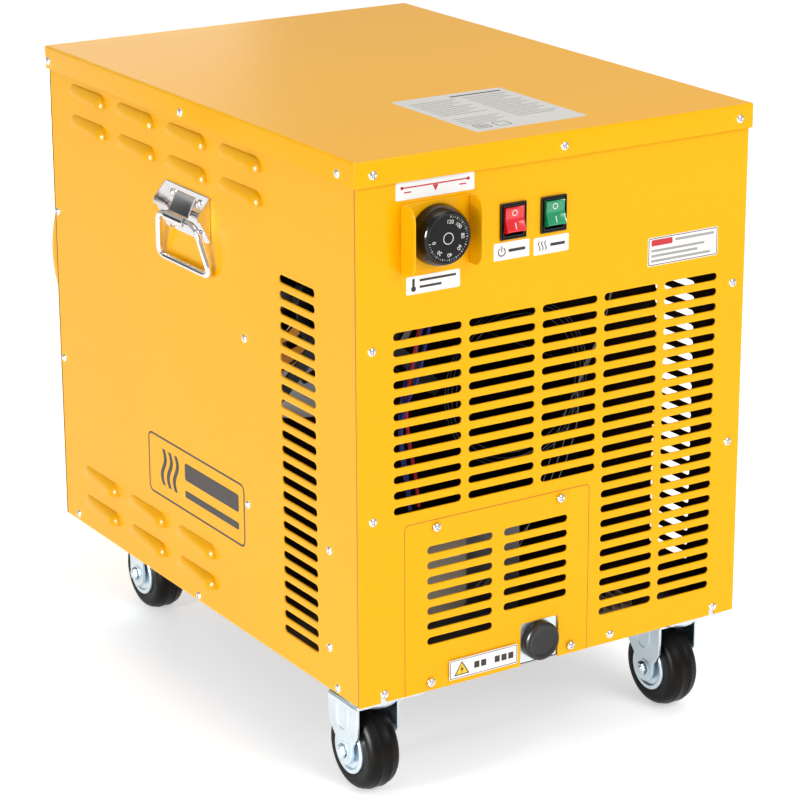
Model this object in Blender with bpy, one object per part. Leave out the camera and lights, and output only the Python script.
"""Portable electric fan heater in a sheet metal box on four casters.

Metres, +Z up, floor at z = 0, controls face -Y, heated air leaves the round collar at +Y.
Air enters the slots, an axial fan pushes it past three ring elements and out of the collar.
"""
import math

import bmesh
import bpy
from mathutils import Matrix, Vector

MM = 0.001

# ---------------------------------------------------------------- driving dimensions
BODY_WIDTH = 406 * MM
BODY_DEPTH = 566 * MM
BODY_HEIGHT = 480 * MM
SHEET = 1.5 * MM
GAP = 0.3 * MM                      # clearance between touching pieces

COVER_OVERHANG = 3 * MM
COVER_LIP = 22 * MM
PAN_FLANGE = 18 * MM
SIDE_FLANGE = 22 * MM

SLOT_HEIGHT = 7 * MM
SLOT_PITCH = 14 * MM
SLOT_BRIDGE = 7 * MM                # metal left between two columns of slots
SLOT_STEPS = 2                      # straight runs in each round slot end
FRONT_SLOTS_LEFT = 35.3 * MM
FRONT_SLOTS_RIGHT = 30.5 * MM
FRONT_SLOTS_BELOW_TOP = 153.7 * MM
LONG_SLOT_EXTRA = 10 * MM           # the two left columns are longer than the other three
LOWEST_SLOT = 30 * MM

ACCESS_LEFT = 46 * MM
ACCESS_TO_COLUMN = 13.4 * MM
ACCESS_HEIGHT = 157.3 * MM
ACCESS_MARGIN = 22.6 * MM
ACCESS_BRIDGE = 11.7 * MM
ACCESS_TOP_ROW = 27 * MM
ACCESS_SCREW_RADIUS = 2 * MM

SIDE_SLOT_FRONT = 68.3 * MM
SIDE_SLOT_LENGTH = 59 * MM
SIDE_SLOTS_BELOW_TOP = 127.3 * MM
LOUVRE_FRONT = 153 * MM
LOUVRE_BACK = 43 * MM
LOUVRE_BRIDGE = 20.6 * MM
LOUVRE_SLIT = 5 * MM
LOUVRE_INSET = 8 * MM               # the slit is shorter than its pressed hood at both ends
UPPER_LOUVRES_BELOW_TOP = (36 * MM, 66 * MM)
LOWER_LOUVRES = (27 * MM, 57 * MM)

DUCT_RADIUS = 152.4 * MM
DUCT_LENGTH = 118 * MM
DUCT_FLANGE = 15 * MM
DUCT_STEPS = 32
CHAMBER_LENGTH = 150 * MM
CHAMBER_RADIUS = 147 * MM
CHAMBER_FLANGE = 10 * MM
ORIFICE_RADIUS = 132 * MM
GRILLE_BAR = 5 * MM
GRILLE_RINGS = 4
GRILLE_SPOKES = 4

FAN_TIP_GAP = 8 * MM
FAN_HUB_RADIUS = 34 * MM
FAN_HUB_HALF = 18 * MM
FAN_BLADES = 5
SHAFT_RADIUS = 4 * MM
MOTOR_RADIUS = 45 * MM
MOTOR_LENGTH = 88 * MM
MOTOR_TO_SHROUD = 27 * MM
BRACKET_THICKNESS = 3 * MM
ELEMENT_RADII = (55 * MM, 85 * MM, 115 * MM)
ELEMENT_ROD = 5 * MM

KNOB_X = 76.7 * MM
KNOB_BELOW_TOP = 70.4 * MM
KNOB_RADIUS = 26.5 * MM
KNOB_FACE_RADIUS = 21.5 * MM
KNOB_PROUD = 20 * MM
KNOB_TO_GUARD = 6 * MM
GUARD_HEIGHT = 59 * MM
GUARD_PROUD = 21 * MM
THERMOSTAT_SIZE = 44 * MM
THERMOSTAT_DEPTH = 32 * MM
SPINDLE_RADIUS = 3 * MM

SWITCH_X = (154 * MM, 195.5 * MM)
BEZEL = (26 * MM, 31.3 * MM)
BEZEL_PROUD = 2 * MM
SWITCH_BODY = (21.6 * MM, 28 * MM)
SWITCH_DEPTH = 22 * MM
ROCKER_RECESS = (19.6 * MM, 25.6 * MM)
ROCKER_RECESS_DEPTH = 11.5 * MM
ROCKER_PIVOT_DEPTH = 6 * MM
ROCKER_HALF = 11 * MM
ROCKER_TILT = math.radians(9)

PLUG_X = 186.7 * MM
PLUG_Z = 21 * MM
PLUG_RADIUS = 18 * MM
PLUG_STEM = 13 * MM
PLUG_PROUD = 5.5 * MM
NOTCH_HALF = 20.2 * MM
NOTCH_TOP = 40 * MM

SHELF_DEPTH = 95 * MM
SHELF_FOOT = 40 * MM
SHELF_INSET = 8 * MM
SHELF_BELOW_ACCESS = 40 * MM
CONTACTOR_WIDTH = 56 * MM
CONTACTOR_HEIGHT = 66 * MM
CONTACTOR_DEPTH = 50 * MM
CONTACTOR_STEP = 8 * MM
CONTACTOR_MARGIN = 4 * MM           # from its top to the shelf's top edge
CONTACTOR_X = 70 * MM
TERMINAL_WAYS = 5
TERMINAL_PITCH = 10 * MM
TERMINAL_WALL = 2 * MM
TERMINAL_HEIGHT = 22 * MM
TERMINAL_FLOOR = 14 * MM
TERMINAL_DEPTH = 24 * MM
TERMINAL_INSET = 6 * MM
TERMINAL_BACK = 52 * MM
LIMIT_RADIUS = 12 * MM
LIMIT_ABOVE_ORIFICE = 40 * MM
BULB_LENGTH = 80 * MM
BULB_RADIUS = 4 * MM
BULB_INSET = 40 * MM
BULB_HEIGHT = 60 * MM
HARNESS_RADIUS = 4 * MM
HARNESS_BEHIND = 8 * MM             # clear of the thermostat's body
HARNESS_BELOW_KNOB = 8 * MM
HARNESS_ABOVE_ACCESS = 12 * MM
HARNESS_ROUTE = ((0, 0, 1), (7 * MM, 2 * MM, 0.77), (3 * MM, 0, 0.5),
                 (5 * MM, 8 * MM, 0.25), (24 * MM, 26 * MM, 0))     # sideways, back, share of the drop

HANDLE_BACK_OF_MIDDLE = 4 * MM
HANDLE_BELOW_TOP = 82 * MM
HANDLE_PLATE = (84 * MM, 43 * MM)
HANDLE_EAR = 13.5 * MM
HANDLE_TONGUE = 34 * MM
BAIL_ROD = 3.3 * MM
BAIL_STANDOFF = 12 * MM
BAIL_LEAN = 7.2 * MM                # hanging, the bail's foot rests nearer the panel
BAIL_DROP = 44 * MM
BAIL_TOP_HALF = 35 * MM
BAIL_BOTTOM_HALF = 49 * MM
BAIL_CORNER = 12 * MM
PIVOT_ABOVE_PLATE_FOOT = 16 * MM

WHEEL_RADIUS = 38.5 * MM
WHEEL_WIDTH = 31 * MM
WHEEL_STEPS = 20
HUB_RADIUS = 22.8 * MM
HUB_SEAT_RADIUS = 21.5 * MM
HUB_HALF = 18.7 * MM
AXLE_RADIUS = 4 * MM
AXLE_HEAD_RADIUS = 7.5 * MM
AXLE_HEAD = 5 * MM
FORK_HALF = 22 * MM
FORK_SHEET = 2.5 * MM
FORK_TIP_RADIUS = 13.1 * MM
FORK_FRONT = 22.7 * MM
FORK_REAR = 25.8 * MM
TYRE_TO_CROWN = 9.8 * MM            # a swivel caster's tyre clears its fork by this much
CROWN_TO_TOP = 15.9 * MM            # swivel race and mounting plate
CASTER_PLATE = (62 * MM, 76 * MM)
RACE_RADIUS = 21 * MM
KINGPIN_LEAD = 13 * MM
KINGPIN_HEAD = 5.5 * MM
FRONT_CASTER_X = 38.3 * MM
FRONT_CASTER_Y = 54.8 * MM
REAR_CASTER_X = 77 * MM
REAR_CASTER_Y = 41.7 * MM

# ---------------------------------------------------------------- derived places
FAN_RADIUS = ORIFICE_RADIUS - FAN_TIP_GAP
GUARD_WIDTH = 2 * (KNOB_RADIUS + KNOB_TO_GUARD + SHEET)
SWIVEL_CROWN = 2 * WHEEL_RADIUS + TYRE_TO_CROWN
CASTER_HEIGHT = SWIVEL_CROWN + CROWN_TO_TOP     # floor to the top of the caster's plate
GROUND = CASTER_HEIGHT + GAP
LEFT = -BODY_WIDTH / 2
RIGHT = BODY_WIDTH / 2
FRONT = -(BODY_DEPTH + DUCT_LENGTH - GUARD_PROUD) / 2
BACK = FRONT + BODY_DEPTH
TOP = GROUND + BODY_HEIGHT
PANEL_TOP = TOP - SHEET - GAP
DUCT_Z = GROUND + BODY_HEIGHT / 2
FLOOR_TOP = GROUND + SHEET + GAP
SHROUD_BACK = BACK - CHAMBER_LENGTH - GAP
SHROUD_FRONT = SHROUD_BACK - SHEET
KNOB_Z = TOP - KNOB_BELOW_TOP
GUARD_FRONT = FRONT - GUARD_PROUD
COVER_FRONT = FRONT - GAP - SHEET
FACING_FRONT = (math.pi / 2, 0, 0)  # turns a flat outline (x, z) to stand in the front face
ALONG_Y = (-math.pi / 2, 0, 0)

# finish: colour, roughness, metallic
PAINT = ((0.95, 0.46, 0.02), 0.35, 0.0)
ZINC = ((0.72, 0.75, 0.78), 0.35, 0.9)
CHROME = ((0.85, 0.85, 0.86), 0.12, 1.0)
STEEL = ((0.45, 0.46, 0.48), 0.4, 0.9)
RUBBER = ((0.02, 0.018, 0.016), 0.7, 0.0)
BLACK = ((0.01, 0.01, 0.011), 0.35, 0.0)
RED = ((0.75, 0.02, 0.03), 0.25, 0.0)
GREEN = ((0.0, 0.30, 0.16), 0.25, 0.0)
CREAM = ((0.75, 0.73, 0.66), 0.5, 0.0)
COPPER = ((0.10, 0.05, 0.03), 0.5, 0.6)


# ---------------------------------------------------------------- outlines (lists of 2-D points)
def rectangle(x0, x1, y0, y1):
    return [(x0, y0), (x1, y0), (x1, y1), (x0, y1)]


def arc(cx, cy, radius, start, end, steps):
    """Points on an arc, angles in degrees, both ends included."""
    angles = [math.radians(start + (end - start) * i / steps) for i in range(steps + 1)]
    return [(cx + radius * math.cos(a), cy + radius * math.sin(a)) for a in angles]


def circle(cx, cy, radius, steps):
    return arc(cx, cy, radius, 0, 360, steps)[:-1]


def slot(x0, x1, y, height):
    """A slot with round ends, from x0 to x1, centred on y."""
    r = height / 2
    return arc(x0 + r, y, r, 90, 270, SLOT_STEPS) + arc(x1 - r, y, r, -90, 90, SLOT_STEPS)


def ring_sector(r0, r1, start, end, steps):
    return arc(0, 0, r1, start, end, steps) + arc(0, 0, r0, end, start, steps)


def rows_from(top, lowest):
    """Heights of slot rows, one pitch apart, from the top one down to the lowest allowed."""
    count = int((top - lowest) / SLOT_PITCH + 1.001)
    return [top - SLOT_PITCH * i for i in range(max(count, 0))]


# ---------------------------------------------------------------- solids (as bmesh)
def sheet(outline, holes, thickness):
    """A flat plate between z = 0 and z = thickness, with holes."""
    bm = bmesh.new()
    for loop in [outline] + holes:
        verts = [bm.verts.new((x, y, 0)) for x, y in loop]
        for a, b in zip(verts, verts[1:] + verts[:1]):
            bm.edges.new((a, b))
    bmesh.ops.triangle_fill(bm, use_beauty=True, edges=bm.edges[:], normal=(0, 0, 1))
    return thicken(bm, thickness)


def prism(outline, thickness):
    """A solid between z = 0 and z = thickness over one outline."""
    bm = bmesh.new()
    bm.faces.new([bm.verts.new((x, y, 0)) for x, y in outline])
    return thicken(bm, thickness)


def thicken(bm, thickness):
    grown = bmesh.ops.extrude_face_region(bm, geom=bm.faces[:])
    moved = [v for v in grown["geom"] if isinstance(v, bmesh.types.BMVert)]
    bmesh.ops.translate(bm, verts=moved, vec=(0, 0, thickness))
    bmesh.ops.recalc_face_normals(bm, faces=bm.faces[:])
    return bm


def box(low, high):
    bm = prism(rectangle(low[0], high[0], low[1], high[1]), high[2] - low[2])
    bmesh.ops.translate(bm, verts=bm.verts[:], vec=(0, 0, low[2]))
    return bm


def turned(profile, steps):
    """Revolve (radius, z) points, in order round the section, about Z."""
    bm = bmesh.new()
    half = math.pi / steps
    closed = profile[0][0] > 0
    verts = [bm.verts.new((r * math.cos(half), r * math.sin(half), z)) for r, z in profile]
    pairs = list(zip(verts, verts[1:]))
    if closed:
        pairs.append((verts[-1], verts[0]))
    edges = [bm.edges.new(pair) for pair in pairs]
    bmesh.ops.spin(bm, geom=verts + edges, cent=(0, 0, 0), axis=(0, 0, 1),
                   angle=math.tau, steps=steps, use_merge=True)
    bmesh.ops.remove_doubles(bm, verts=bm.verts[:], dist=1e-6)
    bmesh.ops.recalc_face_normals(bm, faces=bm.faces[:])
    return bm


def cylinder(radius, z0, z1, steps):
    return turned([(0, z0), (radius, z0), (radius, z1), (0, z1)], steps)


def placed(bm, matrix):
    bmesh.ops.transform(bm, matrix=matrix, verts=bm.verts[:])
    return bm


def moved(bm, x=0.0, y=0.0, z=0.0):
    return placed(bm, Matrix.Translation((x, y, z)))


def joined(pieces):
    """Several bmesh solids in one, still separate bodies."""
    total = bmesh.new()
    for piece in pieces:
        carrier = bpy.data.meshes.new("joining")
        piece.to_mesh(carrier)
        total.from_mesh(carrier)
        bpy.data.meshes.remove(carrier)
    return total


def lying_along_y(bm, x=0.0, z=0.0):
    """Turn a solid made about Z so that its axis runs along Y through (x, z)."""
    return placed(bm, Matrix.Translation((x, 0, z)) @ Matrix.Rotation(-math.pi / 2, 4, "X"))


# ---------------------------------------------------------------- objects
def material(name, finish):
    colour, roughness, metallic = finish
    made = bpy.data.materials.new(name)
    made.use_nodes = True
    shader = made.node_tree.nodes["Principled BSDF"]
    shader.inputs["Base Color"].default_value = (*colour, 1)
    shader.inputs["Roughness"].default_value = roughness
    shader.inputs["Metallic"].default_value = metallic
    made.diffuse_color = (*colour, 1)
    return made


def add(name, bm, finish, location=(0, 0, 0), rotation=(0, 0, 0), smooth=False, parent=None):
    mesh = bpy.data.meshes.new(name)
    bm.to_mesh(mesh)
    mesh.materials.append(material(name, finish))
    if smooth:
        mesh.shade_smooth()
        mesh.set_sharp_from_angle(angle=math.radians(35))
    made = bpy.data.objects.new(name, mesh)
    bpy.context.collection.objects.link(made)
    made.location = location
    made.rotation_euler = rotation
    made.parent = parent
    return made


def shape_with(target, bm, operation):
    """Cut a solid out of an object, or fuse one onto it, in the object's own frame."""
    tool = add(target.name + "_" + operation.lower(), bm, STEEL, target.location,
               target.rotation_euler, parent=target.parent)
    tool.hide_render = True
    tool.display_type = "WIRE"
    change = target.modifiers.new(operation.lower(), "BOOLEAN")
    change.operation = operation
    change.solver = "EXACT"
    change.object = tool


def cut(target, bm):
    shape_with(target, bm, "DIFFERENCE")


def fuse(target, bm):
    shape_with(target, bm, "UNION")


def rod(name, points, radius, finish, closed=False, location=(0, 0, 0), resolution=2):
    """A round rod along points, as a curve with a bevel and filled caps."""
    curve = bpy.data.curves.new(name, "CURVE")
    curve.dimensions = "3D"
    curve.bevel_depth = radius
    curve.bevel_resolution = resolution
    curve.use_fill_caps = True
    spline = curve.splines.new("POLY")
    spline.points.add(len(points) - 1)
    for place, point in zip(spline.points, points):
        place.co = (*point, 1)
    spline.use_cyclic_u = closed
    curve.materials.append(material(name, finish))
    made = bpy.data.objects.new(name, curve)
    bpy.context.collection.objects.link(made)
    made.location = location
    return made


def pivot(name, location):
    """An empty on a joint's axis."""
    made = bpy.data.objects.new(name, None)
    made.empty_display_size = 0.02
    bpy.context.collection.objects.link(made)
    made.location = location
    return made


# ---------------------------------------------------------------- front slot layout
def front_columns():
    """(x0, x1) of the five columns of slots, measured in the frame."""
    free = BODY_WIDTH - FRONT_SLOTS_LEFT - FRONT_SLOTS_RIGHT - 4 * SLOT_BRIDGE
    short = (free - 2 * LONG_SLOT_EXTRA) / 5
    lengths = [short + LONG_SLOT_EXTRA] * 2 + [short] * 3
    columns = []
    x = LEFT + FRONT_SLOTS_LEFT
    for length in lengths:
        columns.append((x, x + length))
        x += length + SLOT_BRIDGE
    return columns


COLUMNS = front_columns()
ACCESS_X0 = LEFT + ACCESS_LEFT
ACCESS_X1 = COLUMNS[3][0] - ACCESS_TO_COLUMN
ACCESS_TOP = GROUND + ACCESS_HEIGHT
ACCESS_SLOT = (ACCESS_X1 - ACCESS_X0 - 2 * ACCESS_MARGIN - ACCESS_BRIDGE) / 2
ACCESS_COLUMNS = (
    (ACCESS_X0 + ACCESS_MARGIN, ACCESS_X0 + ACCESS_MARGIN + ACCESS_SLOT),
    (ACCESS_X1 - ACCESS_MARGIN - ACCESS_SLOT, ACCESS_X1 - ACCESS_MARGIN),
)
ACCESS_ROWS = rows_from(ACCESS_TOP - ACCESS_TOP_ROW, GROUND + 33 * MM)
ACCESS_ROWS_OVER_NOTCH = rows_from(ACCESS_TOP - ACCESS_TOP_ROW, GROUND + 60 * MM)
ACCESS_SCREWS = (
    (ACCESS_X0 + 31.3 * MM, ACCESS_TOP - 6.6 * MM),
    (ACCESS_X1 - 31.3 * MM, ACCESS_TOP - 6.6 * MM),
    (ACCESS_X0 + 25.7 * MM, GROUND + 8.3 * MM),
    (ACCESS_X1 - 18.3 * MM, GROUND + 8.3 * MM),
)
PLUG = (LEFT + PLUG_X, GROUND + PLUG_Z)


def notched_bottom(x0, x1, top, notches):
    """A panel outline standing on GROUND, with U notches (x, half width, height) in its foot."""
    points = []
    for x, half, height in sorted(notches):
        points += [(x - half, GROUND), (x - half, GROUND + height),
                   (x + half, GROUND + height), (x + half, GROUND)]
    return [(x0, GROUND)] + points + [(x1, GROUND), (x1, top), (x0, top)]


# ---------------------------------------------------------------- casing
def build_front_panel():
    holes = []
    full = rows_from(TOP - FRONT_SLOTS_BELOW_TOP, GROUND + LOWEST_SLOT)
    above_access = rows_from(TOP - FRONT_SLOTS_BELOW_TOP, ACCESS_TOP + SLOT_PITCH)
    for number, (x0, x1) in enumerate(COLUMNS):
        for z in above_access if number < 3 else full:
            holes.append(slot(x0, x1, z, SLOT_HEIGHT))
    for (x0, x1), rows in zip(ACCESS_COLUMNS, (ACCESS_ROWS, ACCESS_ROWS_OVER_NOTCH)):
        holes.append(rectangle(x0, x1, rows[-1] - 5 * MM, rows[0] + 5 * MM))
    holes.append(circle(LEFT + KNOB_X, KNOB_Z, SPINDLE_RADIUS + 1.5 * MM, 12))
    for x in SWITCH_X:
        w, h = (size / 2 + GAP for size in SWITCH_BODY)
        holes.append(rectangle(LEFT + x - w, LEFT + x + w, KNOB_Z - h, KNOB_Z + h))
    for x, z in ACCESS_SCREWS:
        holes.append(circle(x, z, ACCESS_SCREW_RADIUS + GAP, 8))
    outline = notched_bottom(LEFT, RIGHT, PANEL_TOP, [
        (LEFT + 24.7 * MM, 3 * MM, 9 * MM),
        (PLUG[0], NOTCH_HALF + 1.5 * MM, NOTCH_TOP + 1.5 * MM),
        (RIGHT - 24.5 * MM, 3 * MM, 9 * MM)])
    add("front_panel", sheet(outline, holes, SHEET), PAINT, (0, FRONT + SHEET, 0), FACING_FRONT)


def build_access_cover():
    holes = [slot(x0, x1, z, SLOT_HEIGHT)
             for (x0, x1), rows in zip(ACCESS_COLUMNS, (ACCESS_ROWS, ACCESS_ROWS_OVER_NOTCH))
             for z in rows]
    upper, lower = ACCESS_SCREWS[:2], ACCESS_SCREWS[2:]
    holes += [circle(x, z, ACCESS_SCREW_RADIUS + GAP, 8) for x, z in upper]
    notches = [(x, 3 * MM, 11 * MM) for x, _ in lower] + [(PLUG[0], NOTCH_HALF, NOTCH_TOP)]
    outline = notched_bottom(ACCESS_X0, ACCESS_X1, ACCESS_TOP, notches)
    add("access_cover", sheet(outline, holes, SHEET), PAINT, (0, FRONT - GAP, 0), FACING_FRONT)
    head = ACCESS_SCREW_RADIUS * 2
    screw = [(0, -2.4 * MM), (head * 0.7, -2.2 * MM), (head, -1 * MM), (head, 0),
             (ACCESS_SCREW_RADIUS, 0), (ACCESS_SCREW_RADIUS, SHEET * 2 + 2 * GAP),
             (0, SHEET * 2 + 2 * GAP)]
    for number, (x, z) in enumerate(ACCESS_SCREWS):
        add(f"access_screw_{number + 1}", turned(screw, 8), ZINC,
            (x, COVER_FRONT - GAP, z), ALONG_Y, smooth=True)


def build_side_panel(name, side):
    """A plate with a flange folded in at each end; side is -1 on the left and 1 on the right."""
    y0 = FRONT + SHEET + GAP
    y1 = BACK - SHEET - GAP
    outer = RIGHT
    inner = outer - SHEET
    fold = outer - SIDE_FLANGE
    outline = [(outer, y0), (outer, y1), (fold, y1), (fold, y1 - SHEET), (inner, y1 - SHEET),
               (inner, y0 + SHEET), (fold, y0 + SHEET), (fold, y0)]
    outline = [(side * x, y) for x, y in outline]
    panel = moved(prism(outline, PANEL_TOP - GROUND), z=GROUND)
    made = add(name, panel, PAINT)
    slots = [slot(FRONT + SIDE_SLOT_FRONT, FRONT + SIDE_SLOT_FRONT + SIDE_SLOT_LENGTH, z, SLOT_HEIGHT)
             for z in rows_from(TOP - SIDE_SLOTS_BELOW_TOP, GROUND + LOWEST_SLOT)]
    pitch = (BODY_DEPTH - LOUVRE_FRONT - LOUVRE_BACK + LOUVRE_BRIDGE) / 4
    places = [(i, TOP - d) for d in UPPER_LOUVRES_BELOW_TOP for i in range(4)]
    places += [(i, GROUND + h) for h in LOWER_LOUVRES for i in range(1, 4)]
    for i, z in places:
        y = FRONT + LOUVRE_FRONT + pitch * i
        slots.append(rectangle(y + LOUVRE_INSET, y + pitch - LOUVRE_BRIDGE - LOUVRE_INSET,
                               z, z + LOUVRE_SLIT))
    standing = Matrix(((0, 0, 1, 0), (1, 0, 0, 0), (0, 1, 0, 0), (0, 0, 0, 1)))
    cutters = [placed(prism(outline, 6 * SHEET), standing) for outline in slots]
    start = outer - 3 * SHEET if side > 0 else -outer - 3 * SHEET
    cut(made, moved(joined(cutters), x=start))


def build_back_panel():
    outline = rectangle(LEFT, RIGHT, GROUND, PANEL_TOP)
    hole = circle(0, DUCT_Z, CHAMBER_RADIUS - SHEET, DUCT_STEPS)
    add("back_panel", sheet(outline, [hole], SHEET), PAINT, (0, BACK, 0), FACING_FRONT)


def tray(low, high, wall):
    """A shallow box, open at the top."""
    bm = box(low, high)
    top = max(bm.faces, key=lambda face: face.calc_center_median().z)
    bmesh.ops.inset_region(bm, faces=[top], thickness=wall, use_even_offset=True)
    sunk = bmesh.ops.extrude_face_region(bm, geom=[top])
    bmesh.ops.delete(bm, geom=[top], context="FACES_ONLY")
    verts = [v for v in sunk["geom"] if isinstance(v, bmesh.types.BMVert)]
    bmesh.ops.translate(bm, verts=verts, vec=(0, 0, low[2] + wall - high[2]))
    bmesh.ops.recalc_face_normals(bm, faces=bm.faces[:])
    return bm


def build_pan_and_cover():
    clear = 2 * SHEET + 2 * GAP
    pan = tray((LEFT + SHEET + GAP, FRONT + clear, GROUND),
               (RIGHT - SHEET - GAP, BACK - clear, GROUND + PAN_FLANGE), SHEET)
    made = add("base_pan", pan, PAINT)
    stem_hole = lying_along_y(cylinder(PLUG_STEM + GAP, 0, 12 * MM, 16), *PLUG)
    cut(made, moved(stem_hole, y=FRONT))
    reach = COVER_OVERHANG
    lid = tray((LEFT - reach, FRONT - reach, 0), (RIGHT + reach, BACK + reach, COVER_LIP), SHEET)
    flip = Matrix.Translation((0, FRONT + BACK, TOP)) @ Matrix.Rotation(math.pi, 4, "X")
    add("top_cover", placed(lid, flip), PAINT)


# ---------------------------------------------------------------- air path, front to back
def build_duct():
    r1 = DUCT_RADIUS
    r0 = DUCT_RADIUS - SHEET
    flange = DUCT_RADIUS + DUCT_FLANGE
    bead = 2.5 * MM
    end = DUCT_LENGTH - GAP
    profile = [(r0, 0), (flange, 0), (flange, SHEET), (r1, SHEET), (r1, end - 14 * MM),
               (r1 + bead, end - 11 * MM), (r1, end - 8 * MM), (r1, end), (r0, end)]
    add("outlet_collar", turned(profile, DUCT_STEPS), PAINT, (0, BACK + GAP, DUCT_Z), ALONG_Y,
        smooth=True)
    rim = r0 * math.cos(math.pi / DUCT_STEPS) - GAP   # the collar is a polygon inside
    step = (rim - GRILLE_BAR - 12 * MM) / GRILLE_RINGS
    holes = []
    for ring in range(GRILLE_RINGS):
        outer = rim - GRILLE_BAR - ring * step
        inner = outer - step + GRILLE_BAR
        for spoke in range(GRILLE_SPOKES):
            start = 360 / GRILLE_SPOKES * (spoke + 0.5)
            half = math.degrees(GRILLE_BAR / 2 / inner)
            end_angle = start + 360 / GRILLE_SPOKES
            holes.append(ring_sector(inner, outer, start + half, end_angle - half, 4))
    add("outlet_grille", sheet(circle(0, 0, rim, DUCT_STEPS), holes, 2 * SHEET), STEEL,
        (0, BACK + 12 * MM, DUCT_Z), FACING_FRONT)
    c1 = CHAMBER_RADIUS
    c0 = CHAMBER_RADIUS - SHEET
    length = CHAMBER_LENGTH - SHEET - GAP
    wide = CHAMBER_RADIUS + CHAMBER_FLANGE
    profile = [(c0, 0), (c1, 0), (c1, length - SHEET), (wide, length - SHEET), (wide, length),
               (c0, length)]
    add("heat_chamber", turned(profile, DUCT_STEPS), ZINC, (0, BACK - CHAMBER_LENGTH, DUCT_Z),
        ALONG_Y, smooth=True)


def build_elements():
    for number, radius in enumerate(ELEMENT_RADII):
        y = BACK - (45 + 25 * number) * MM
        points = [(x, 0, z) for x, z in arc(0, 0, radius, -80, 260, 24)]
        rod(f"heating_element_{number + 1}", points, ELEMENT_ROD, COPPER,
            location=(0, y, DUCT_Z), resolution=1)


def build_fan():
    side = 2 * SHEET + 2 * GAP
    outline = rectangle(LEFT + side, RIGHT - side, FLOOR_TOP, PANEL_TOP - 2 * MM)
    hole = circle(0, DUCT_Z, ORIFICE_RADIUS, DUCT_STEPS)
    add("fan_shroud", sheet(outline, [hole], SHEET), ZINC, (0, SHROUD_BACK, 0), FACING_FRONT)

    spin = pivot("fan_axis", (0, SHROUD_FRONT, DUCT_Z))
    bore = SHAFT_RADIUS + GAP
    hub = turned([(bore, -FAN_HUB_HALF), (FAN_HUB_RADIUS, -FAN_HUB_HALF),
                  (FAN_HUB_RADIUS, FAN_HUB_HALF), (bore, FAN_HUB_HALF)], 20)
    impeller = add("fan_impeller", lying_along_y(hub), BLACK, parent=spin)
    blades = []
    for number in range(FAN_BLADES):
        blade = box((FAN_HUB_RADIUS * 0.85, -26 * MM, -1.2 * MM), (FAN_RADIUS * 0.98, 26 * MM, 1.2 * MM))
        turn = Matrix.Rotation(math.tau * number / FAN_BLADES, 4, "Z")
        blades.append(placed(blade, turn @ Matrix.Rotation(math.radians(32), 4, "X")))
    fuse(impeller, lying_along_y(joined(blades)))

    motor_back = -MOTOR_TO_SHROUD
    motor_front = motor_back - MOTOR_LENGTH
    shaft = cylinder(SHAFT_RADIUS, motor_back - 50 * MM, FAN_HUB_HALF, 10)
    add("fan_shaft", lying_along_y(shaft), STEEL, parent=spin, smooth=True)
    blind = motor_back - 50 * MM - GAP
    profile = [(0, motor_front), (MOTOR_RADIUS * 0.8, motor_front), (MOTOR_RADIUS, motor_front + 8 * MM),
               (MOTOR_RADIUS, motor_back - 8 * MM), (MOTOR_RADIUS * 0.6, motor_back),
               (bore, motor_back), (bore, blind), (0, blind)]
    add("fan_motor", turned(profile, 20), BLACK, (0, SHROUD_FRONT, DUCT_Z), ALONG_Y, smooth=True)

    back_face = motor_back - 40 * MM
    inner = MOTOR_RADIUS + GAP
    reach = ORIFICE_RADIUS + 16 * MM
    ring = turned([(inner, 0), (inner + 12 * MM, 0), (inner + 12 * MM, BRACKET_THICKNESS),
                   (inner, BRACKET_THICKNESS)], 20)
    bracket = add("motor_bracket", ring, ZINC, (0, SHROUD_FRONT + back_face, DUCT_Z), ALONG_Y)
    arms = []
    for number in range(4):
        turn = Matrix.Rotation(math.radians(45 + 90 * number), 4, "Z")
        half = 7 * MM
        foot = -back_face - GAP
        profile = [(inner + 6 * MM, 0), (reach, 0), (reach, foot), (reach - BRACKET_THICKNESS, foot),
                   (reach - BRACKET_THICKNESS, BRACKET_THICKNESS), (inner + 6 * MM, BRACKET_THICKNESS)]
        arm = prism(profile, 2 * half)
        upright = Matrix.Translation((0, half, 0)) @ Matrix.Rotation(math.pi / 2, 4, "X")
        arms.append(placed(arm, turn @ upright))
    fuse(bracket, joined(arms))


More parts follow.
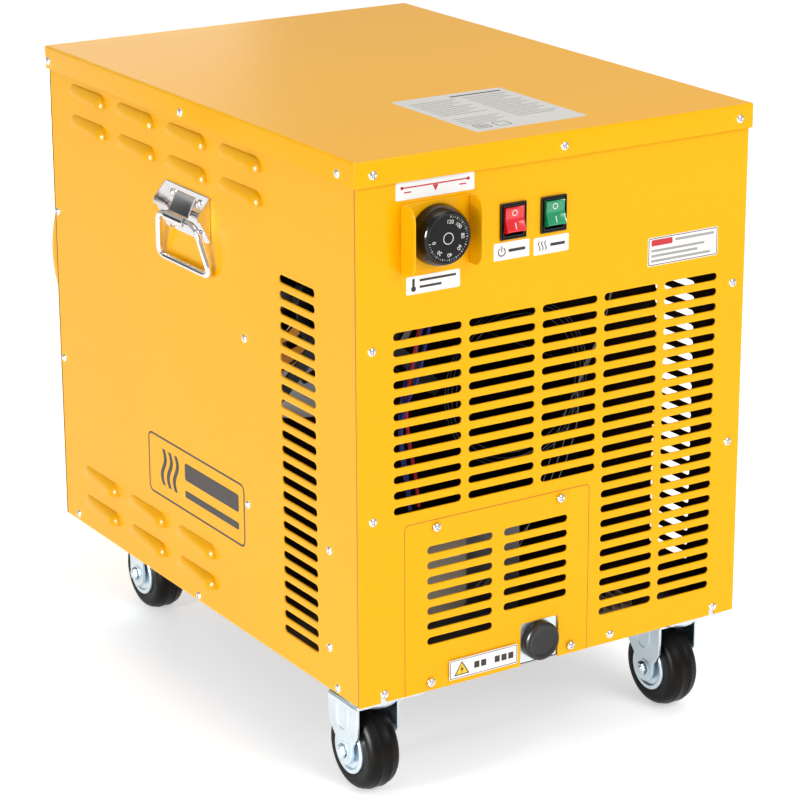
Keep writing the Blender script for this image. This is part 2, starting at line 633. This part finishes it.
# ---------------------------------------------------------------- controls
def build_thermostat():
    x = LEFT + KNOB_X
    half = THERMOSTAT_SIZE / 2
    y0 = FRONT + SHEET + GAP
    body = box((-half, y0 - FRONT, -half), (half, y0 - FRONT + THERMOSTAT_DEPTH, half))
    made = add("thermostat_body", body, BLACK, (x, FRONT, KNOB_Z))
    spindle = cylinder(SPINDLE_RADIUS, -(KNOB_PROUD - 6 * MM), y0 - FRONT + 3 * MM, 10)
    fuse(made, lying_along_y(spindle))

    rear = GUARD_PROUD - (SHEET + GAP) - GAP
    bore = SPINDLE_RADIUS + GAP
    front = GUARD_PROUD - KNOB_PROUD
    depth = KNOB_PROUD - 6 * MM + GAP
    profile = [(0, front), (KNOB_FACE_RADIUS, front), (KNOB_FACE_RADIUS + 1.5 * MM, front + 2 * MM),
               (KNOB_RADIUS - 1 * MM, front + 8 * MM), (KNOB_RADIUS, rear - 2 * MM), (KNOB_RADIUS, rear),
               (bore, rear), (bore, GUARD_PROUD - depth), (0, GUARD_PROUD - depth)]
    add("thermostat_knob", turned(profile, 24), BLACK, (x, GUARD_FRONT, KNOB_Z), ALONG_Y, smooth=True)

    w = GUARD_WIDTH / 2
    y_back = FRONT - GAP
    outline = [(-w, y_back), (-w, GUARD_FRONT), (-w + SHEET, GUARD_FRONT),
               (-w + SHEET, y_back - SHEET), (w - SHEET, y_back - SHEET), (w - SHEET, GUARD_FRONT),
               (w, GUARD_FRONT), (w, y_back)]
    guard = add("knob_guard", prism(outline, GUARD_HEIGHT), PAINT, (x, 0, KNOB_Z - GUARD_HEIGHT / 2))
    hole = lying_along_y(cylinder(8 * MM, -10 * MM, 10 * MM, 16), 0, GUARD_HEIGHT / 2)
    cut(guard, moved(hole, y=FRONT))


def build_switch(name, x, finish):
    place = (LEFT + x, FRONT, KNOB_Z)
    bw, bh = (size / 2 for size in BEZEL)
    hw, hh = (size / 2 for size in SWITCH_BODY)
    rw, rh = (size / 2 for size in ROCKER_RECESS)
    housing = add(name + "_switch_housing", box((-bw, -BEZEL_PROUD, -bh), (bw, -GAP, bh)), BLACK, place)
    fuse(housing, box((-hw, -1 * MM, -hh), (hw, SWITCH_DEPTH, hh)))
    cut(housing, box((-rw, -2 * BEZEL_PROUD, -rh), (rw, ROCKER_RECESS_DEPTH, rh)))
    half = ROCKER_HALF
    width = rw - GAP
    lift = 11.5 * MM
    outline = [(-lift, half), (-lift + 2.5 * MM, 0), (-lift, -half),
               (3 * MM, -half + 2.5 * MM), (3 * MM, half - 2.5 * MM)]
    stand = Matrix(((0, 0, 1, -width), (1, 0, 0, 0), (0, 1, 0, 0), (0, 0, 0, 1)))
    rocker = placed(prism(outline, 2 * width), stand)
    add(name + "_rocker", rocker, finish, (place[0], FRONT + ROCKER_PIVOT_DEPTH, KNOB_Z),
        (-ROCKER_TILT, 0, 0))


def build_cable_entry():
    x, z = PLUG
    y = FRONT + SHEET + GAP
    half = NOTCH_HALF + 6 * MM
    plate = rectangle(-half, half, GROUND + 2 * MM - z, NOTCH_TOP - PLUG_Z + 8 * MM)
    hole = circle(0, 0, PLUG_STEM + GAP, 16)
    add("cable_entry_plate", sheet(plate, [hole], SHEET), ZINC, (x, y + SHEET, z), FACING_FRONT)
    front = -(SHEET + GAP + PLUG_PROUD)
    rear = SHEET
    profile = [(0, front), (PLUG_RADIUS - 2 * MM, front), (PLUG_RADIUS, front + 2 * MM),
               (PLUG_RADIUS, rear), (PLUG_STEM, rear), (PLUG_STEM, rear + 9 * MM), (0, rear + 9 * MM)]
    add("cable_entry_plug", turned(profile, 20), BLACK, (x, FRONT, z), ALONG_Y, smooth=True)


# ---------------------------------------------------------------- electrics inside
def build_electrics():
    y = FRONT + SHELF_DEPTH
    shelf_top = ACCESS_TOP - SHELF_BELOW_ACCESS
    shelf = [(y, FLOOR_TOP), (y + SHELF_FOOT, FLOOR_TOP), (y + SHELF_FOOT, FLOOR_TOP + SHEET),
             (y + SHEET, FLOOR_TOP + SHEET), (y + SHEET, shelf_top), (y, shelf_top)]
    width = ACCESS_X1 - ACCESS_X0 - 2 * SHELF_INSET
    stand = Matrix(((0, 0, 1, ACCESS_X0 + SHELF_INSET), (1, 0, 0, 0), (0, 1, 0, 0), (0, 0, 0, 1)))
    add("control_shelf", placed(prism(shelf, width), stand), ZINC)

    w = CONTACTOR_WIDTH / 2
    step = CONTACTOR_STEP
    depth = CONTACTOR_DEPTH
    block = [(-w, 0), (w, 0), (w, depth - step), (w - step, depth - step), (w - step, depth),
             (-w + step, depth), (-w + step, depth - step), (-w, depth - step)]
    contactor = moved(prism(block, CONTACTOR_HEIGHT), z=shelf_top - CONTACTOR_HEIGHT - CONTACTOR_MARGIN)
    flip = Matrix.Rotation(math.pi, 4, "Z")
    add("contactor", placed(contactor, flip), CREAM, (ACCESS_X0 + CONTACTOR_X, y - GAP, 0))

    wall = TERMINAL_WALL
    comb = [(0, 0)]
    for tooth in range(TERMINAL_WAYS):
        x = tooth * TERMINAL_PITCH
        comb += [(x, TERMINAL_HEIGHT), (x + wall, TERMINAL_HEIGHT), (x + wall, TERMINAL_FLOOR),
                 (x + TERMINAL_PITCH, TERMINAL_FLOOR)]
    end = TERMINAL_WAYS * TERMINAL_PITCH
    comb += [(end, TERMINAL_HEIGHT), (end + wall, TERMINAL_HEIGHT), (end + wall, 0)]
    block = placed(prism(comb, TERMINAL_DEPTH), Matrix.Rotation(math.pi / 2, 4, "X"))
    add("terminal_block", block, CREAM,
        (COLUMNS[3][0] + TERMINAL_INSET, FRONT + TERMINAL_BACK, FLOOR_TOP))

    r = LIMIT_RADIUS
    disc = turned([(0, 0), (r, 0), (r, 8 * MM), (r * 0.42, 8 * MM), (r * 0.42, 12 * MM), (0, 12 * MM)], 14)
    limit = placed(disc, Matrix.Rotation(math.pi / 2, 4, "X"))
    add("limit_thermostat", limit, CREAM,
        (0, SHROUD_FRONT - GAP, DUCT_Z + ORIFICE_RADIUS + LIMIT_ABOVE_ORIFICE), smooth=True)

    bulb = [(0, 0, 0), (BULB_LENGTH, 0, 0)]
    rod("thermostat_bulb", bulb, BULB_RADIUS, STEEL, resolution=1,
        location=(LEFT + BULB_INSET, SHROUD_FRONT - BULB_RADIUS - 1 * MM, GROUND + BULB_HEIGHT))

    x0 = LEFT + KNOB_X
    behind = FRONT + SHEET + THERMOSTAT_DEPTH + HARNESS_BEHIND
    low = ACCESS_TOP + HARNESS_ABOVE_ACCESS
    drop = KNOB_Z - HARNESS_BELOW_KNOB - low
    route = [Vector((x0 + across, behind + back, low + drop * share))
             for across, back, share in HARNESS_ROUTE]
    rod("wiring_harness", smooth_path(route, 5), HARNESS_RADIUS, RED, resolution=1)


def smooth_path(points, steps):
    """A Catmull-Rom curve through the points."""
    padded = [2 * points[0] - points[1]] + points + [2 * points[-1] - points[-2]]
    path = []
    for a, b, c, d in zip(padded, padded[1:], padded[2:], padded[3:]):
        for i in range(steps):
            t = i / steps
            path.append(0.5 * ((2 * b) + (c - a) * t + (2 * a - 5 * b + 4 * c - d) * t * t
                               + (3 * b - a - 3 * c + d) * t ** 3))
    return path + [points[-1]]


# ---------------------------------------------------------------- carrying handles
def rounded_loop(corners, radius, steps):
    """A closed loop through corners, each one rounded."""
    loop = []
    for before, here, after in zip(corners[-1:] + corners, corners, corners[1:] + corners[:1]):
        start = here + (before - here).normalized() * radius
        end = here + (after - here).normalized() * radius
        for i in range(steps + 1):
            t = i / steps
            loop.append((1 - t) ** 2 * start + 2 * t * (1 - t) * here + t * t * end)
    return loop


def build_handle(name, side):
    """side is -1 on the left panel and 1 on the right one."""
    y = (FRONT + BACK) / 2 + HANDLE_BACK_OF_MIDDLE
    foot = TOP - HANDLE_BELOW_TOP - HANDLE_PLATE[1]
    axis_z = foot + PIVOT_ABOVE_PLATE_FOOT
    face = RIGHT + GAP
    w, h = HANDLE_PLATE[0] / 2, HANDLE_PLATE[1]
    reach = HANDLE_EAR
    plate = box((0, -w, 0), (SHEET, w, h))
    made = add(name + "_handle_plate", plate, CHROME, (0, 0, 0))
    ear_foot = PIVOT_ABOVE_PLATE_FOOT + BAIL_ROD + 2 * MM
    ears = [prism([(SHEET / 2, ear_foot), (reach, ear_foot + 1 * MM), (reach, ear_foot + 10 * MM),
                   (SHEET / 2, h - 1 * MM)], SHEET) for _ in range(2)]
    stand = Matrix(((1, 0, 0, 0), (0, 0, 1, 0), (0, 1, 0, 0), (0, 0, 0, 1)))
    ears = [moved(placed(ear, stand), y=edge) for ear, edge in zip(ears, (-w, w - SHEET))]
    clear = BAIL_ROD + GAP
    centre = (BAIL_STANDOFF, PIVOT_ABOVE_PLATE_FOOT)
    inner = arc(*centre, clear, 120, -40, 8)
    outer = arc(*centre, clear + SHEET, -40, 105, 8)
    tongue = inner + outer + [(SHEET / 2, h - 8 * MM), (SHEET / 2, h - 11 * MM)]
    tongue = moved(placed(prism(tongue, HANDLE_TONGUE), stand), y=-HANDLE_TONGUE / 2)
    tools = joined(ears + [tongue])
    bmesh.ops.recalc_face_normals(tools, faces=tools.faces[:])
    turn = Matrix.Translation((side * face, y, foot))
    if side < 0:
        turn = turn @ Matrix.Rotation(math.pi, 4, "Z")
    made.location, made.rotation_euler = turn.to_translation(), turn.to_euler()
    fuse(made, tools)

    corners = [Vector((0, -BAIL_TOP_HALF, 0)), Vector((0, BAIL_TOP_HALF, 0)),
               Vector((-side * BAIL_LEAN, BAIL_BOTTOM_HALF, -BAIL_DROP)),
               Vector((-side * BAIL_LEAN, -BAIL_BOTTOM_HALF, -BAIL_DROP))]
    rod(name + "_handle_bail", rounded_loop(corners, BAIL_CORNER, 4), BAIL_ROD, CHROME, closed=True,
        location=(side * (face + BAIL_STANDOFF), y, axis_z))


# ---------------------------------------------------------------- casters
def leg_outline(front, rear, crown):
    """Side view of a caster leg about the axle: round tip, tapering up to the crown."""
    r = FORK_TIP_RADIUS
    tip = arc(0, 0, r, 180 + 20, 360 - 20, 8)
    return [(rear, crown), (-front, crown), (-front, 9 * MM)] + tip + [(rear, 13 * MM)]


def build_caster(name, x, y, swivels):
    axle_z = WHEEL_RADIUS
    spin = pivot(name + "_axle_axis", (x, y, axle_z))
    crown = (SWIVEL_CROWN if swivels else CASTER_HEIGHT) - axle_z
    front, rear = (FORK_FRONT, FORK_REAR) if swivels else (FORK_TIP_RADIUS, FORK_TIP_RADIUS + 2 * MM)
    stand = Matrix(((0, 0, 1, -FORK_HALF), (1, 0, 0, 0), (0, 1, 0, 0), (0, 0, 0, 1)))
    legs = placed(prism(leg_outline(front, rear, crown), 2 * FORK_HALF), stand)
    fork = add(name + "_fork", legs, ZINC, parent=spin)
    hollow = FORK_HALF - FORK_SHEET
    cut(fork, box((-hollow, -60 * MM, -60 * MM), (hollow, 60 * MM, crown - FORK_SHEET)))
    bore = AXLE_RADIUS + GAP
    axle_hole = cylinder(bore, -2 * FORK_HALF, 2 * FORK_HALF, 12)
    cut(fork, placed(axle_hole, Matrix.Rotation(math.pi / 2, 4, "Y")))
    pw, pl = CASTER_PLATE[0] / 2, CASTER_PLATE[1] / 2
    plate_z = CASTER_HEIGHT - FORK_SHEET - axle_z
    plate_top = CASTER_HEIGHT - axle_z
    if swivels:
        pin_y = -KINGPIN_LEAD
        pin_hole = moved(cylinder(bore, crown - 3 * FORK_SHEET, crown + FORK_SHEET, 12), y=pin_y)
        cut(fork, pin_hole)
        under = crown - FORK_SHEET - GAP
        head = 7.5 * MM
        profile = [(0, under - KINGPIN_HEAD), (head * 0.7, under - KINGPIN_HEAD), (head, under - 2 * MM),
                   (head, under), (AXLE_RADIUS, under), (AXLE_RADIUS, crown + GAP),
                   (RACE_RADIUS, crown + GAP), (RACE_RADIUS + 3 * MM, crown + 4 * MM),
                   (RACE_RADIUS, plate_z + 1 * MM), (0, plate_z + 1 * MM)]
        swivel = add(name + "_swivel_plate", turned(profile, 20), ZINC,
                     (x, y + pin_y, axle_z), smooth=True)
        fuse(swivel, box((-pw, -pl, plate_z), (pw, pl, plate_top)))
    else:
        fuse(fork, box((-pw, -pl, plate_z), (pw, pl, plate_top)))

    across = Matrix.Rotation(math.pi / 2, 4, "Y")
    w = WHEEL_WIDTH / 2
    circumscribed = WHEEL_RADIUS / math.cos(math.pi / WHEEL_STEPS)
    seat = HUB_SEAT_RADIUS + GAP
    tread = [(seat, -w), (30 * MM, -w), (circumscribed - 4 * MM, -w + 2.5 * MM),
             (circumscribed, -w * 0.45), (circumscribed, w * 0.45),
             (circumscribed - 4 * MM, w - 2.5 * MM), (30 * MM, w), (seat, w)]
    add(name + "_tyre", placed(turned(tread, WHEEL_STEPS), across), RUBBER, parent=spin, smooth=True)
    inside = w + GAP
    hub = [(bore, -HUB_HALF), (HUB_RADIUS, -HUB_HALF), (HUB_RADIUS, -inside),
           (HUB_SEAT_RADIUS, -inside), (HUB_SEAT_RADIUS, inside), (HUB_RADIUS, inside),
           (HUB_RADIUS, HUB_HALF), (bore, HUB_HALF)]
    add(name + "_hub", placed(turned(hub, WHEEL_STEPS), across), ZINC, parent=spin, smooth=True)
    outside = FORK_HALF + GAP
    head = AXLE_HEAD_RADIUS
    axle = [(0, -outside - AXLE_HEAD), (head * 0.7, -outside - AXLE_HEAD), (head, -outside - 2 * MM),
            (head, -outside), (AXLE_RADIUS, -outside), (AXLE_RADIUS, outside), (head, outside),
            (head, outside + AXLE_HEAD), (0, outside + AXLE_HEAD)]
    add(name + "_axle", placed(turned(axle, 12), across), ZINC, parent=spin, smooth=True)


def main():
    for thing in list(bpy.data.objects):
        bpy.data.objects.remove(thing)
    build_pan_and_cover()
    build_front_panel()
    build_access_cover()
    build_side_panel("left_side_panel", -1)
    build_side_panel("right_side_panel", 1)
    build_back_panel()
    build_duct()
    build_elements()
    build_fan()
    build_thermostat()
    build_switch("power", SWITCH_X[0], RED)
    build_switch("heat", SWITCH_X[1], GREEN)
    build_cable_entry()
    build_electrics()
    build_handle("left", -1)
    build_handle("right", 1)
    for side, sign in (("left", -1), ("right", 1)):
        build_caster("front_" + side, sign * (RIGHT - FRONT_CASTER_X), FRONT + FRONT_CASTER_Y, True)
        build_caster("rear_" + side, sign * (RIGHT - REAR_CASTER_X), BACK - REAR_CASTER_Y, False)


main()
